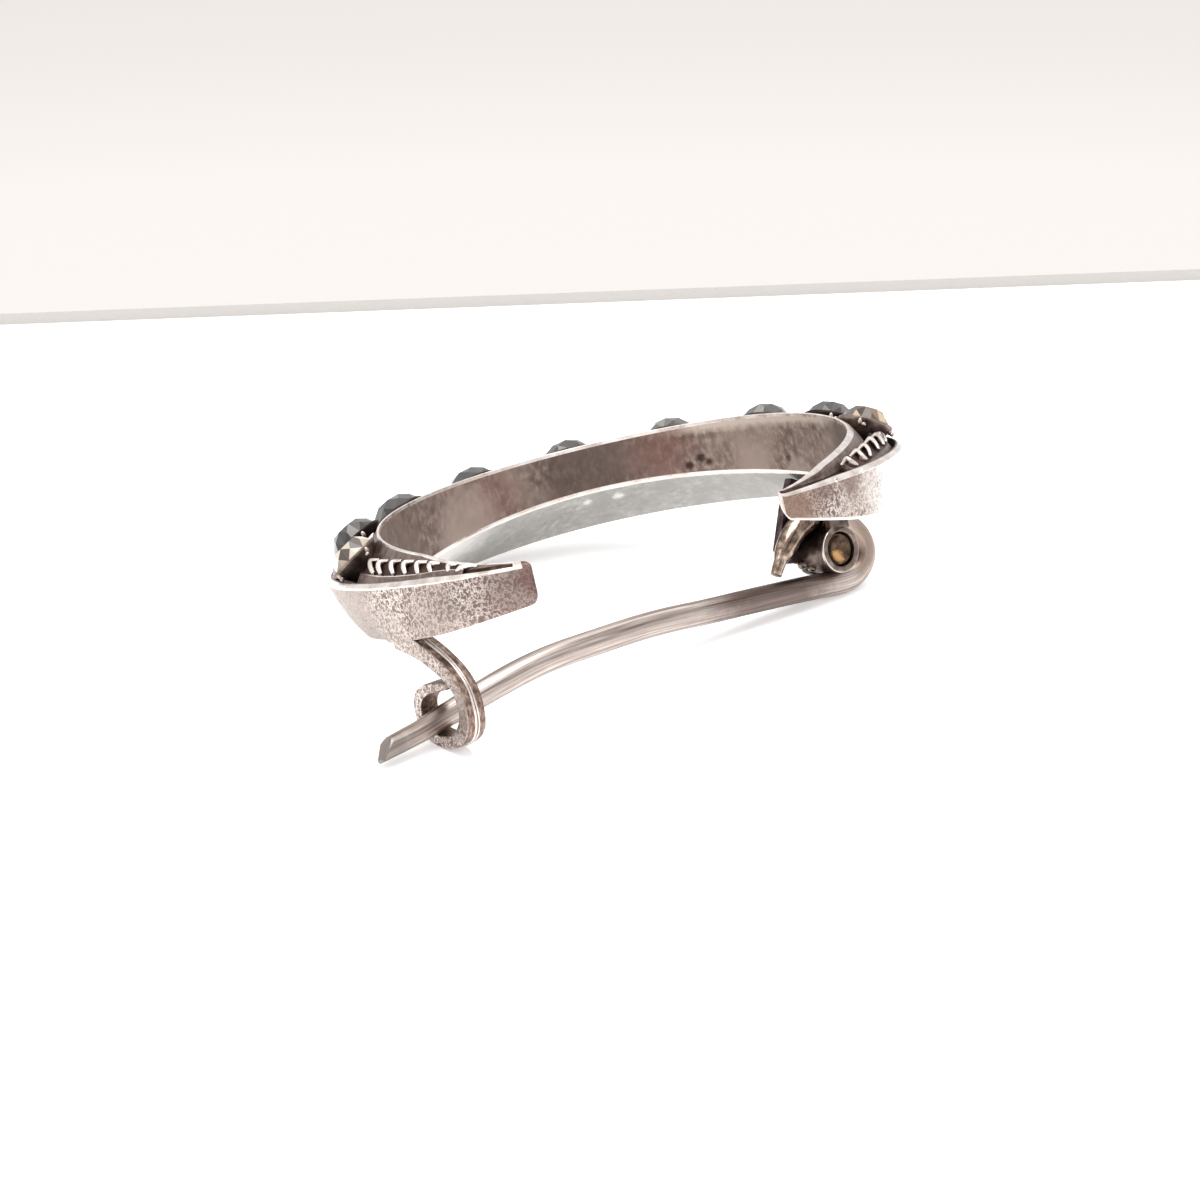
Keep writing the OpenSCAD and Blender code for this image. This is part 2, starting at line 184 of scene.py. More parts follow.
def front_z(x, y):
    """The dome falls with the square of the distance from the middle."""
    return DOME_ACROSS * (1 - (x / OUTER_RX) ** 2) - DOME_ALONG * (y / OUTER_RX) ** 2


def station(t):
    """Rim points, widths, directions and wall directions of the sections at t."""
    a, b = angles(t)
    outer = np.stack([OUTER_RX * np.cos(a), OUTER_RY * np.sin(a)], -1)
    inner = np.stack([INNER_RX * np.cos(b), INNER_RY * np.sin(b) - INNER_SHIFT], -1)
    outer[..., 1] += TIP_TURN * near(t, TIP_TURN_TO) ** 1.5
    right_limb = (np.cos(b) > 0) & (np.sin(b) < 0)
    inner[..., 0] -= (np.where(right_limb, LIMB_IN, 0) * np.sin(2 * b) ** 2
                      * (1 - near(t, LIMB_IN_FROM)))
    inner += (outer - inner) * (PINCH * near(1 - t, PINCH_TO) ** 1.3)[..., None]
    gap = outer - inner
    w = np.linalg.norm(gap, axis=-1)
    s = np.sin(a)
    at_tip = np.clip(-s / 0.9, 0, 1) ** 1.5

    def along(mid, limb, tip):
        return np.where(s > 0, limb + (mid - limb) * s * s, limb + (tip - limb) * at_tip)

    def up(p, lean):
        v = np.stack([lean * 2 * DOME_ACROSS * p[..., 0] / OUTER_RX ** 2,
                      lean * 2 * DOME_ALONG * p[..., 1] / OUTER_RX ** 2,
                      np.ones_like(s)], -1)
        return v / np.linalg.norm(v, axis=-1, keepdims=True)

    depth = along(DEPTH_MID, DEPTH_LIMB, DEPTH_TIP) * (1 - DEPTH_SKEW * np.cos(a))
    depth -= (FILED_RIGHT * near(t, FILED_RIGHT_TO) ** 1.5
              + FILED_LEFT * near(1 - t, FILED_LEFT_TO) ** 1.5)
    return {
        "outer": outer, "inner": inner, "w": w, "e": gap / w[..., None], "right": np.cos(a),
        "up_o": up(outer, along(LEAN_MID, LEAN_LIMB, 0)),
        "up_i": up(inner, along(LEAN_INNER, LEAN_INNER, 0)),
        "deep_o": depth, "deep_i": depth * (1 + along(INNER_DEEPER, INNER_DEEPER, 0)),
    }


def on_front(st, across, height):
    """Point at a distance across from the inner rim, and a height over the dome."""
    p = st["inner"] + st["e"] * np.asarray(across)[..., None]
    return np.stack([p[..., 0], p[..., 1], front_z(p[..., 0], p[..., 1]) + height], -1)


# Meshes
def linked(name, data):
    """New object for a mesh, light or camera, put into the scene."""
    obj = bpy.data.objects.new(name, data)
    bpy.context.scene.collection.objects.link(obj)
    return obj


def grid_mesh(name, points, *materials, caps=True, uv=None, face_material=None, pale=None):
    """Smooth mesh over a grid of points (U, V, 3) in metres. V closes on itself, and a fan
    closes each end. face_material numbers the materials, and broadcasts over the grid's faces.
    uv is a grid (U, V, 2) in mm, pale a grid (U, V) kept as an attribute."""
    nu, nv = points.shape[:2]
    verts = points.reshape(-1, 3)
    i = np.arange(nu - 1)[:, None]
    j = np.arange(nv)[None, :]
    k = (j + 1) % nv
    quads = np.stack([i * nv + j, i * nv + k, (i + 1) * nv + k, (i + 1) * nv + j], -1)
    quads = quads.reshape(-1, 4)
    faces = quads.tolist()
    if caps:
        verts = np.vstack([verts, points[0].mean(0), points[-1].mean(0)])
        c0, c1 = nu * nv, nu * nv + 1
        last = (nu - 1) * nv
        for a in range(nv):
            b = (a + 1) % nv
            faces.append([c0, b, a])
            faces.append([c1, last + a, last + b])
    mesh = bpy.data.meshes.new(name)
    mesh.from_pydata(verts.tolist(), [], faces)
    if uv is not None:
        layer = mesh.uv_layers.new(name="millimetres")
        flat = uv.reshape(-1, 2)
        if caps:
            flat = np.vstack([flat, uv[0].mean(0), uv[-1].mean(0)])
        index = np.empty(len(mesh.loops), np.int32)
        mesh.loops.foreach_get("vertex_index", index)
        layer.data.foreach_set("uv", flat[index].astype(np.float32).ravel())
    if pale is not None:
        values = np.zeros(len(verts), np.float32)
        values[:pale.size] = pale.ravel()
        mesh.attributes.new("pale", "FLOAT", "POINT").data.foreach_set("value", values)
    mesh.polygons.foreach_set("use_smooth", np.ones(len(mesh.polygons), bool))
    for m in materials:
        mesh.materials.append(m)
    if face_material is not None:
        which = np.zeros(len(mesh.polygons), np.int32)
        which[:len(quads)] = np.broadcast_to(face_material, (nu - 1, nv)).ravel()
        mesh.polygons.foreach_set("material_index", which)
    mesh.update()
    return linked(name, mesh)


def ring_curve(ring, parts):
    """Rounded closed curve: each corner of the ring pulls a parabola between the middles of its
    two sides. ring is (T, K, 3), the result (T, K * parts, 3)."""
    before = (np.roll(ring, 1, axis=1) + ring) / 2
    after = (np.roll(ring, -1, axis=1) + ring) / 2
    u = (np.arange(parts) / parts)[None, None, :, None]
    curve = ((1 - u) ** 2 * before[:, :, None] + 2 * u * (1 - u) * ring[:, :, None]
             + u * u * after[:, :, None])
    return curve.reshape(ring.shape[0], -1, 3)


def fair_curve(rows, parts):
    """Smooth curve through rows of numbers, each stretch a cubic of its four nearest rows."""
    p = np.vstack([rows[:1], rows, rows[-1:]])
    u = (np.arange(parts) / parts)[None, :, None]
    p0, p1, p2, p3 = (p[k:len(p) - 3 + k][:, None] for k in range(4))
    curve = 0.5 * (2 * p1 + (p2 - p0) * u + (2 * p0 - 5 * p1 + 4 * p2 - p3) * u * u
                   + (3 * p1 - p0 - 3 * p2 + p3) * u ** 3)
    return np.vstack([curve.reshape(-1, rows.shape[1]), rows[-1:]])


def lengths(points):
    """Length along a row of points, from its first."""
    step = np.linalg.norm(np.diff(points, axis=0), axis=1)
    return np.concatenate([[0], np.cumsum(step)])


def directions(points):
    """Unit direction of a row of points at each of them."""
    ahead = np.gradient(points, axis=0)
    return ahead / np.linalg.norm(ahead, axis=1, keepdims=True)


def full_turn(count):
    """Angles of count points round a circle."""
    return np.linspace(0, 2 * np.pi, count, endpoint=False)


def revolve(profile, count):
    """Profile rows (radius, height) turned about Z: grid (rows, count, 3)."""
    a = full_turn(count)
    r, z = profile[:, :1], profile[:, 1:]
    return np.stack([r * np.cos(a), r * np.sin(a), z + 0 * a], -1)


def egg(size, tall):
    """Ellipsoid about Z: its radius is size, its half height size times tall."""
    phi = np.linspace(0.02, np.pi - 0.02, 12)
    return revolve(np.stack([size * np.sin(phi), -size * tall * np.cos(phi)], -1), 16)


def join_pieces(name, parts):
    """One object from several, their materials kept."""
    for o in bpy.context.selected_objects:
        o.select_set(False)
    for o in parts:
        o.select_set(True)
    bpy.context.view_layer.objects.active = parts[0]
    bpy.ops.object.join()
    parts[0].name = name
    parts[0].data.name = name
    return parts[0]


# Materials
def srgb(hex_colour):
    """Hex sRGB colour to linear red, green, blue and alpha."""
    c = np.array([int(hex_colour[k:k + 2], 16) for k in (1, 3, 5)]) / 255
    lin = np.where(c <= 0.04045, c / 12.92, ((c + 0.055) / 1.055) ** 2.4)
    return (*lin.tolist(), 1.0)


def add(tree, kind, inputs=None, **settings):
    """Adds a node. settings are its own; inputs maps a socket name or number to a value or to
    another node's output."""
    node = tree.nodes.new(kind)
    for key, value in settings.items():
        setattr(node, key, value)
    for key, value in (inputs or {}).items():
        if isinstance(value, bpy.types.NodeSocket):
            tree.links.new(value, node.inputs[key])
        else:
            node.inputs[key].default_value = value
    return node


def new_material(name):
    """Empty node material with its Principled shader."""
    m = bpy.data.materials.new(name)
    m.use_nodes = True
    return m, m.node_tree, m.node_tree.nodes["Principled BSDF"]


def with_stops(node, stops):
    """Output of a colour ramp that has been given its (position, hex) stops."""
    band = node.color_ramp
    while len(band.elements) < len(stops):
        band.elements.new(0.5)
    for element, (place, colour) in zip(band.elements, stops):
        element.position = place
        element.color = srgb(colour)
    return node.outputs["Color"]


def stained_or_lit(tree, coords, colour, mark):
    """Colour with a soft mark laid over it, a stain of tarnish on some pieces and painted light
    and shade on others. A mark is its middle in the brooch's frame and its reach, both in mm, its
    colour and its strength at the middle; noise frays its edge."""
    middle, reach, hex_colour, strength = mark
    fray = add(tree, "ShaderNodeTexNoise", {
        "Vector": coords, "Scale": 2.5 / (reach * MM), "Detail": 4.0,
        "Roughness": 0.7}).outputs[0]
    apart = add(tree, "ShaderNodeVectorMath", {
        0: coords, 1: lay_down(np.array(middle, float)).tolist()},
        operation="DISTANCE").outputs["Value"]
    frayed = add(tree, "ShaderNodeMath", {0: fray, 1: 0.9 * reach * MM, 2: apart},
                 operation="MULTIPLY_ADD").outputs[0]
    share = add(tree, "ShaderNodeMapRange", {
        "Value": frayed, "From Min": 0.75 * reach * MM, "From Max": 1.45 * reach * MM,
        "To Min": strength, "To Max": 0.0}, interpolation_type="SMOOTHSTEP").outputs[0]
    # sockets 6 and 7 are the two colours of a colour mix, and output 2 its result
    return add(tree, "ShaderNodeMix", {0: share, 6: colour, 7: srgb(hex_colour)},
               data_type="RGBA").outputs[2]


def worn_silver(name, stops, grain, stretch=None, rough=(0.3, 0.5), bump=0.01, cloud=None,
                stains_and_painted_light=(), detail=6.0, pale=None):
    """Worn silver: colour stops over a noise of the given grain in mm, on the object or, where
    stretch is given, on the piece's UV; over it a softer cloud (size mm, hex, strength), a pale
    colour where the piece's own attribute says so and single marks, stains of tarnish on some
    pieces and painted light and shade on others; and a bump as high as bump mm."""
    m, tree, shader = new_material(name)
    coords = add(tree, "ShaderNodeTexCoord").outputs["Object"]
    if stretch:
        uv = add(tree, "ShaderNodeUVMap", uv_map="millimetres").outputs["UV"]
        place = add(tree, "ShaderNodeMapping", {"Vector": uv, "Scale": (*stretch, 1)})
    else:
        place = add(tree, "ShaderNodeMapping", {"Vector": coords, "Scale": (1 / MM,) * 3})
    noise = add(tree, "ShaderNodeTexNoise", {
        "Vector": place.outputs["Vector"], "Scale": 1 / grain, "Detail": detail,
        "Roughness": 0.62}).outputs[0]
    colour = with_stops(add(tree, "ShaderNodeValToRGB", {"Fac": noise}), stops)
    if cloud:
        size, hex_colour, strength = cloud
        soft = add(tree, "ShaderNodeTexNoise", {
            "Vector": coords, "Scale": 1 / (size * MM), "Detail": 3.0,
            "Roughness": 0.55}).outputs[0]
        share = add(tree, "ShaderNodeMapRange", {
            "Value": soft, "From Min": 0.42, "From Max": 0.64, "To Max": strength}).outputs[0]
        colour = add(tree, "ShaderNodeMix", {0: share, 6: colour, 7: srgb(hex_colour)},
                     data_type="RGBA").outputs[2]
    if pale:
        where = add(tree, "ShaderNodeAttribute", attribute_name="pale").outputs["Fac"]
        share = add(tree, "ShaderNodeMath", {0: noise, 1: 0.9, 2: where}, operation="MULTIPLY_ADD")
        share = add(tree, "ShaderNodeMapRange", {"Value": share.outputs[0], "From Min": 0.62,
                                                 "From Max": 1.3}).outputs[0]
        colour = add(tree, "ShaderNodeMix", {0: share, 6: colour, 7: srgb(pale)},
                     data_type="RGBA").outputs[2]
    for mark in stains_and_painted_light:
        colour = stained_or_lit(tree, coords, colour, mark)
    tree.links.new(colour, shader.inputs["Base Color"])
    shader.inputs["Metallic"].default_value = 1.0
    gloss = add(tree, "ShaderNodeMapRange", {
        "Value": noise, "From Min": 0.3, "From Max": 0.7, "To Min": rough[0],
        "To Max": rough[1]}).outputs[0]
    tree.links.new(gloss, shader.inputs["Roughness"])
    relief = add(tree, "ShaderNodeBump", {"Height": noise, "Strength": 1.0,
                                          "Distance": bump * MM})
    tree.links.new(relief.outputs["Normal"], shader.inputs["Normal"])
    return m


def paste_stone(name, facet_reflections):
    """Old lead glass over browned foil. The light and dark that differ from facet to facet are
    painted
    reflections: a noise over the facets' directions picks each facet's tint, under a polished
    clear surface."""
    m, tree, shader = new_material(name)
    facing = add(tree, "ShaderNodeNewGeometry").outputs["True Normal"]
    facet = add(tree, "ShaderNodeTexNoise", {
        "Vector": facing, "Scale": 4.3, "Detail": 2.0, "Roughness": 0.6}).outputs[0]
    tint = with_stops(add(tree, "ShaderNodeValToRGB", {"Fac": facet}), facet_reflections)
    tree.links.new(tint, shader.inputs["Base Color"])
    shader.inputs["Roughness"].default_value = 0.06
    shader.inputs["Transmission Weight"].default_value = 0.2
    shader.inputs["IOR"].default_value = 1.62
    return m


# Cast and never polished: fine pits, light and dark side by side, with brown tarnish. The real
# pits are about 0.15 mm wide and drawn a little coarser, so that they show. A near-white patch on
# the right limb's wall is a painted highlight.
OUTER_SILVER = worn_silver(
    "cast silver, pitted outer wall",
    [(0.38, "#6d5c55"), (0.45, "#94857d"), (0.5, "#ece4df"), (0.55, "#94857d"), (0.62, "#6d5c55")],
    grain=0.24, rough=(0.36, 0.54), bump=0.03, cloud=(2.6, "#b7aaa2", 0.5), detail=3.0,
    stains_and_painted_light=[((-6.0, -11.6, -1.0), 3.8, "#74605a", 0.75),
            ((-5.9, -11.7, -0.4), 1.3, "#6b4d48", 0.6),
            ((-10.0, -8.6, -1.6), 3.4, "#8d7d75", 0.4),
            ((5.6, -12.0, -0.6), 2.8, "#8f7566", 0.85),
            ((9.3, -9.9, -0.1), 1.1, "#7d6861", 0.8), ((7.8, -10.9, 0.0), 1.0, "#7d6861", 0.75),
            # the near-white mark first on the next line is a painted highlight
            ((13.0, -4.5, -1), 5.8, "#fdfcfb", 0.9), ((-14, -3, -1), 4.5, "#a0948d", 0.7),
            ((-9.8, -9.3, -5.6), 2.8, "#82736b", 0.5)])
# Sawn: brown, with short upright strokes, soft stains and a few dark pits
INNER_SILVER = worn_silver(
    "sawn silver, brown inner wall",
    [(0.36, "#65564f"), (0.5, "#7e6e66"), (0.64, "#a2938a")],
    grain=0.4, stretch=(1.1, 0.75), rough=(0.42, 0.6), bump=0.008, detail=9.0,
    cloud=(2.4, "#9c8b82", 0.55), pale="#c4b6ab",
    stains_and_painted_light=[((0.6, 9.7, 1.2), 4.2, "#5b4d48", 0.75), ((4.4, 8.9, 1.5), 2.4, "#775750", 0.6),
            ((-4.3, 9.0, 1.1), 2.0, "#8f6f67", 0.5), ((6.1, 7.95, 0.6), 0.36, "#382a27", 0.9),
            ((6.4, 7.7, 0.3), 0.24, "#382a27", 0.9), ((5.5, 8.3, 0.3), 0.3, "#382a27", 0.9),
            ((9.7, 4.3, -0.1), 0.25, "#382a27", 0.8), ((-6.0, 7.8, 0.3), 2.8, "#b3a198", 0.7),
            ((8.4, 5.9, 0.0), 1.6, "#a39288", 0.55), ((9.9, 3.9, -1.0), 1.3, "#a89a90", 0.55),
            ((-9.4, 4.2, 0.4), 2.4, "#77685f", 0.5), ((10.9, -1.5, 0.2), 2.6, "#5f5350", 0.7),
            ((-6.9, 7.3, -0.9), 1.6, "#aa9c93", 0.5)])
# Filed flat: pale grey, even and matt, with two rubbed spots. Painted light pales the left part,
# where the table shades it, and painted shade dims the right part.
BACK_SILVER = worn_silver(
    "filed silver, pale back",
    [(0.32, "#a3a19d"), (0.52, "#b6b4b0"), (0.7, "#cccac7")],
    grain=0.35, rough=(0.42, 0.56), bump=0.008, cloud=(1.4, "#a19e9a", 0.55),
    stains_and_painted_light=[((0.4, 10.5, -0.6), 0.4, "#f4f2ef", 0.8), ((2.0, 10.4, -0.6), 0.45, "#f4f2ef", 0.8),
            # painted light on the left part, then painted shade on the right part
            ((-8.0, 6.6, -1.2), 5.0, "#eceae8", 0.85), ((9.4, 5.0, -1.6), 2.6, "#938e88", 0.6)])
# Blackened between the stones: dark brown, matt
FLOOR_SILVER = worn_silver(
    "blackened silver, channel floor",
    [(0.35, "#33241f"), (0.52, "#4b3631"), (0.7, "#6a554e")],
    grain=0.6, rough=(0.4, 0.6), bump=0.01)
# Cut with a graver and dulled since: brown-grey with a soft sheen
SLOPE_SILVER = worn_silver(
    "cut silver, dulled slopes of the channel",
    [(0.35, "#66564e"), (0.52, "#80706a"), (0.7, "#9b8b82")],
    grain=0.5, rough=(0.38, 0.52), bump=0.008)
# Rubbed by wear: nearly white lines that catch the light
RIM_SILVER = worn_silver(
    "rubbed silver, rims and bright cuts",
    [(0.3, "#cabdb4"), (0.5, "#e4dad3"), (0.7, "#f6f1ee")],
    grain=0.8, rough=(0.22, 0.36), bump=0.006)
# Raised with a graver and partly rubbed: greyer than the rims
GRAIN_SILVER = worn_silver(
    "raised grains, half rubbed bright",
    [(0.3, "#8f837b"), (0.5, "#b3a79e"), (0.7, "#cfc5bd")],
    grain=0.5, rough=(0.28, 0.42), bump=0.004)
# Cast and hammered: brown between light specks, with painted shade where it leaves the limb
CATCH_SILVER = worn_silver(
    "cast silver, brown broad faces of the catch",
    [(0.38, "#5f4f47"), (0.5, "#846f64"), (0.6, "#ab978b")],
    grain=0.22, stretch=(0.8, 1.3), rough=(0.34, 0.52), bump=0.02,
    stains_and_painted_light=[((-10.15, -8.9, -3.5), 0.75, "#3f302c", 0.85)])
# Drawn through a plate: streaks along the wire, grey to cream. The real lines are too fine to
# show, so they are drawn about 0.1 mm wide. Towards the hinge the wire darkens, partly tarnish
# and partly painted shade.
PIN_METAL = worn_silver(
    "drawn wire, long streaks",
    [(0.36, "#897b74"), (0.5, "#b3a69f"), (0.64, "#dbd2cc")],
    grain=0.25, stretch=(0.045, 2.0), rough=(0.3, 0.46), bump=0.006,
    stains_and_painted_light=[((6.6, 2.1, -6.2), 5.0, "#5f4d48", 0.8), ((12.3, 5.2, -5.2), 2.6, "#87705f", 0.7),
            ((-14.2, -9.0, -6.9), 2.4, "#6f6661", 0.65)])
# The same wire, polished where it was bent: brown with sharp reflections
TAIL_METAL = worn_silver(
    "drawn wire, polished brown tail",
    [(0.35, "#5a4b43"), (0.5, "#8b786b"), (0.66, "#c6b2a3")],
    grain=0.5, rough=(0.12, 0.22), bump=0.003)
# Drawn silver, dark outside as painted shade from the crescent above it, with a dull sheen
TUBE_SILVER = worn_silver(
    "drawn silver tube, painted shade outside",
    [(0.35, "#4f423d"), (0.52, "#73645c"), (0.68, "#978880")],
    grain=0.6, rough=(0.28, 0.46), bump=0.008)
# Rolled sheet, blackened: nearly black, matt
PLATE_SILVER = worn_silver(
    "sheet silver, blackened hinge plates",
    [(0.35, "#3b3131"), (0.52, "#574b4a"), (0.68, "#7b6d69")],
    grain=0.5, rough=(0.34, 0.5), bump=0.01)
# Left as it froze: grey with small bright points
SOLDER = worn_silver(
    "silver solder, grey lumps",
    [(0.35, "#5d534d"), (0.52, "#8a7f76"), (0.68, "#b8aea5")],
    grain=0.3, rough=(0.25, 0.4), bump=0.01)
# Bent from sheet and blackened: a dark, even edge round each stone
SEAT_SILVER = worn_silver(
    "blackened silver, stone cups",
    [(0.3, "#2a2423"), (0.7, "#4a413f")],
    grain=1.5, rough=(0.3, 0.4), bump=0.0, detail=1.0)
# Cut wire, brown, with a painted golden reflection low on its dished end and painted shade above
RIVET_METAL = worn_silver(
    "brown rivet wire",
    [(0.35, "#3b2e26"), (0.55, "#665343"), (0.7, "#94795b")],
    grain=0.5, rough=(0.2, 0.36), bump=0.01,
    stains_and_painted_light=[((10.8, 3.5, -5.3), 0.45, "#dfb077", 0.9), ((10.8, 3.5, -4.4), 0.5, "#2a201b", 0.8)])
# Cut and polished: each facet's tint is a painted reflection, dark on most stones, under sharp
# pale reflections
PASTE = paste_stone("old paste over dark foil, painted facet reflections",
                    [(0.38, "#2c2a2a"), (0.5, "#474544"), (0.57, "#66625f"), (0.66, "#948f89")])
PASTE_BROWN = paste_stone("old paste over browned foil, painted facet reflections",
                          [(0.36, "#2e2621"), (0.46, "#5d4a3c"), (0.52, "#8a705a"),
                           (0.58, "#b89d7c"), (0.66, "#e0cdb2")])
PASTE_BRIGHT = paste_stone("old paste with painted bright facet reflections",
                           [(0.36, "#4f463e"), (0.43, "#83766a"), (0.49, "#b5a692"),
                            (0.55, "#ddd2c4"), (0.62, "#ffffff")])
FINISH = {1: PASTE_BROWN, 9: PASTE_BRIGHT}


# Crescent
def channel_depth(w, least, closed_w):
    """Depth of the channel's floor where the section is w wide."""
    return np.maximum(least, FLOOR_DROP * np.clip((w - closed_w) / FLOOR_EASE, 0, 1))


def crescent_ring(st):
    """Corner points of the section, from the outer rim over the channel and the inner rim,
    down the inner wall, across the back and up the outer wall, and each one's zone. Distances
    are in mm or shares of the width, the wall, the channel's depth or the section's."""
    w = st["w"]
    wall = np.minimum(WALL, 0.3 * w)
    drop = channel_depth(w, 0.04, MERGED_W)
    top_o, top_i = on_front(st, w, 0), on_front(st, 0 * w, 0)
    up_o, up_i = st["up_o"], st["up_i"]
    left = -st["right"]
    deep_o = (st["deep_o"] - LEFT_LIFT * smooth01((left - 0.85) / 0.13))[..., None]
    deep_i = st["deep_i"][..., None]
    flat_e = np.concatenate([st["e"], 0 * st["e"][..., :1]], -1)
    bulge = flat_e * (BULGE * smooth01((left - 0.3) / 0.5))[..., None]
    back_o, back_i = top_o - up_o * deep_o, top_i - up_i * deep_i
    ring, zones = [], []

    def put(points, zone):
        ring.append(points)
        zones.append(zone)

    # over the channel, to the inner rim: across, height and zone
    inner_wall = wall * (0.7 + 0.25 * st["right"])
    put(top_o - up_o * 0.16, "outer")
    put(top_o - up_o * 0.04, "rim")
    for across, height, zone in (
            (w - 0.06, 0.0, "rim"), (w - 0.5 * wall, 0.02, "rim"), (w - wall + 0.05, 0.0, "slope"),
            (w - wall, -0.05, "floor"), (w - wall - 0.02, -0.35 * drop, "floor"),
            (w - 1.2 * wall, -0.9 * drop, "floor"), (w - 1.5 * wall, -drop, "floor"),
            (0.5 * w, -drop, "floor"), (0.36 * w, -drop, "floor"), (0.3 * w, -0.8 * drop, "floor"),
            (0.24 * w, -0.45 * drop, "slope"), (inner_wall + 0.02, -0.06, "slope"),
            (inner_wall - 0.05, 0.0, "rim"), (0.4 * wall, 0.02, "rim"),
            (0 * w + 0.06, 0.0, "rim")):
        put(on_front(st, across, height), zone)
    # down the inner wall
    for down, zone in ((0.04, "rim"), (0.14, "rim"), (0.3, "inner"), (0.5 * deep_i, "inner"),
                       (deep_i - 0.3, "inner"), (deep_i - 0.05, "rim")):
        put(top_i - up_i * down, zone)
    # across the back
    edge = (0.05 / w)[..., None]
    put(back_i + (back_o - back_i) * edge, "rim")
    put(back_i + (back_o - back_i) * edge * 3, "back")
    put((back_i + back_o) / 2, "back")
    put(back_o + (back_i - back_o) * edge * 3, "back")
    put(back_o + (back_i - back_o) * edge, "rim")
    # up the outer wall, with its bulge
    put(top_o - up_o * (deep_o - 0.05), "rim")
    for down, share in ((deep_o - 0.25, 0.3), (0.7 * deep_o, 1), (0.35 * deep_o, 1), (0.3, 0.2)):
        put(top_o - up_o * down + share * bulge, "outer")
    return np.stack(ring, 1), zones


def swelled(ring, first):
    """The outer wall, from the ring's corner first on, pushed out to the side of the catch strip
    where the two run together. The push fades over the distances below, in mm in the pin line's
    frame."""
    local = in_pin_line(ring)
    x, y, z = np.moveaxis(local, -1, 0)
    share = (smooth01((y + 5) / 3.5) * smooth01((3.6 - y) / 2.1) * smooth01((-0.6 - z) / 1.2)
             * smooth01(-21 - x))
    out = np.minimum(x, CATCH_X - CATCH_W / 2 - 0.01) - x
    local[:, first:, 0] += (out * share)[:, first:]
    return pin_line(local)


def tip_end(ring, st, end, back, hold, draw):
    """Sections past an end of the crescent, drawn in on a quarter ellipse: at an angle b of it
    the section has gone TIP_ROUND sin b on, its height has closed by draw (1 - cos b) and its
    width by 0.9 (1 - cos b)^1.5. hold is 1 where it closes onto its rim, 0 onto its middle."""
    mid = ring[end].mean(0)
    out = mid - ring[back].mean(0)
    out /= np.linalg.norm(out)
    across = np.append(st["e"][end], 0)
    off = ring[end] - mid
    sideways = (off @ across)[:, None] * across
    up = st["up_o"][end] * st["deep_o"][end] / 2 * hold
    made = []
    for bend in TIP_BENDS:
        low = 1 - draw * (1 - np.cos(bend))
        thin = 1 - 0.9 * (1 - np.cos(bend)) ** 1.5
        made.append(mid + sideways * thin + (off - sideways) * low + up * (1 - low)
                    + out * TIP_ROUND * np.sin(bend))
    return np.array(made)


def crescent():
    """The section carried from tip to tip, with rounded ends: both corners of the left tip are
    round, and the lower one of the right tip."""
    st = station(np.linspace(STATION_END, 1 - STATION_END, STATIONS))
    corners, corner_zones = crescent_ring(st)
    back = corner_zones.index("back")
    ring = ring_curve(swelled(corners, back + 2), RING_PARTS)
    right, left = (tip_end(ring, st, *tip) for tip in TIPS)
    points = np.concatenate([right[::-1], ring, left])
    u = lengths(points.mean(1))
    around = np.linalg.norm(np.diff(points, axis=1, append=points[:, :1]), axis=-1)
    v = np.cumsum(around, axis=1) - around
    uv = np.stack([np.broadcast_to(u[:, None], v.shape), v], -1)
    zones = ["outer", "inner", "back", "floor", "rim", "slope"]
    metals = [OUTER_SILVER, INNER_SILVER, BACK_SILVER, FLOOR_SILVER, RIM_SILVER, SLOPE_SILVER]
    which = np.repeat([zones.index(zone) for zone in corner_zones], RING_PARTS)
    which = np.tile(which, (len(u) - 1, 1))
    # the outer wall's lower edge is bright on the right limb alone: a painted highlight
    lower_edge = (back + 4) * RING_PARTS
    which[len(which) // 2:, lower_edge:lower_edge + RING_PARTS] = zones.index("outer")
    merged = np.concatenate([np.zeros(len(right), bool), st["w"] < MERGED_W,
                             np.zeros(len(left) - 1, bool)])
    hollow = np.isin(which, [zones.index("floor"), zones.index("slope")])
    which[hollow & merged[:, None]] = zones.index("rim")
    # the left tip's end is like the wall, and the right tip's is rubbed bright
    which[-len(left):] = zones.index("outer")
    which[:len(right) // 2] = zones.index("rim")
    # the inner wall is pale along its rim from the closed side to the right limb
    down = points[..., 2].max(1, keepdims=True) - points[..., 2]
    beside = np.degrees(np.arctan2(points[..., 1], points[..., 0]))
    pale = (smooth01(1.5 - 1.6 * (down + 0.1)) * smooth01((beside + 12) / 20)
            * smooth01((80 - beside) / 35))
    return grid_mesh("crescent", lay_down(points), *metals, uv=uv, face_material=which,
                     pale=pale)


# Settings
def on_channel(angle):
    """Turn and place that put a shape on the front at an outline angle, X outwards."""
    st = station(share_of(np.array([angle])))
    inner, outer = st["inner"][0], st["outer"][0]
    mid, out = (inner + outer) / 2, outer - inner
    fall = (front_z(*inner) - front_z(*outer)) / np.linalg.norm(out)
    rot = (turn("Z", np.degrees(np.arctan2(out[1], out[0])))
           @ turn("Y", np.degrees(np.arctan(fall))))
    return rot, np.array([mid[0], mid[1], front_z(*mid)])


def placed(points, angle, lift=0.0):
    """Local channel coordinates at an outline angle to the brooch frame."""
    rot, at = on_channel(angle)
    return (points + np.array([0, 0, lift])) @ rot.T + at


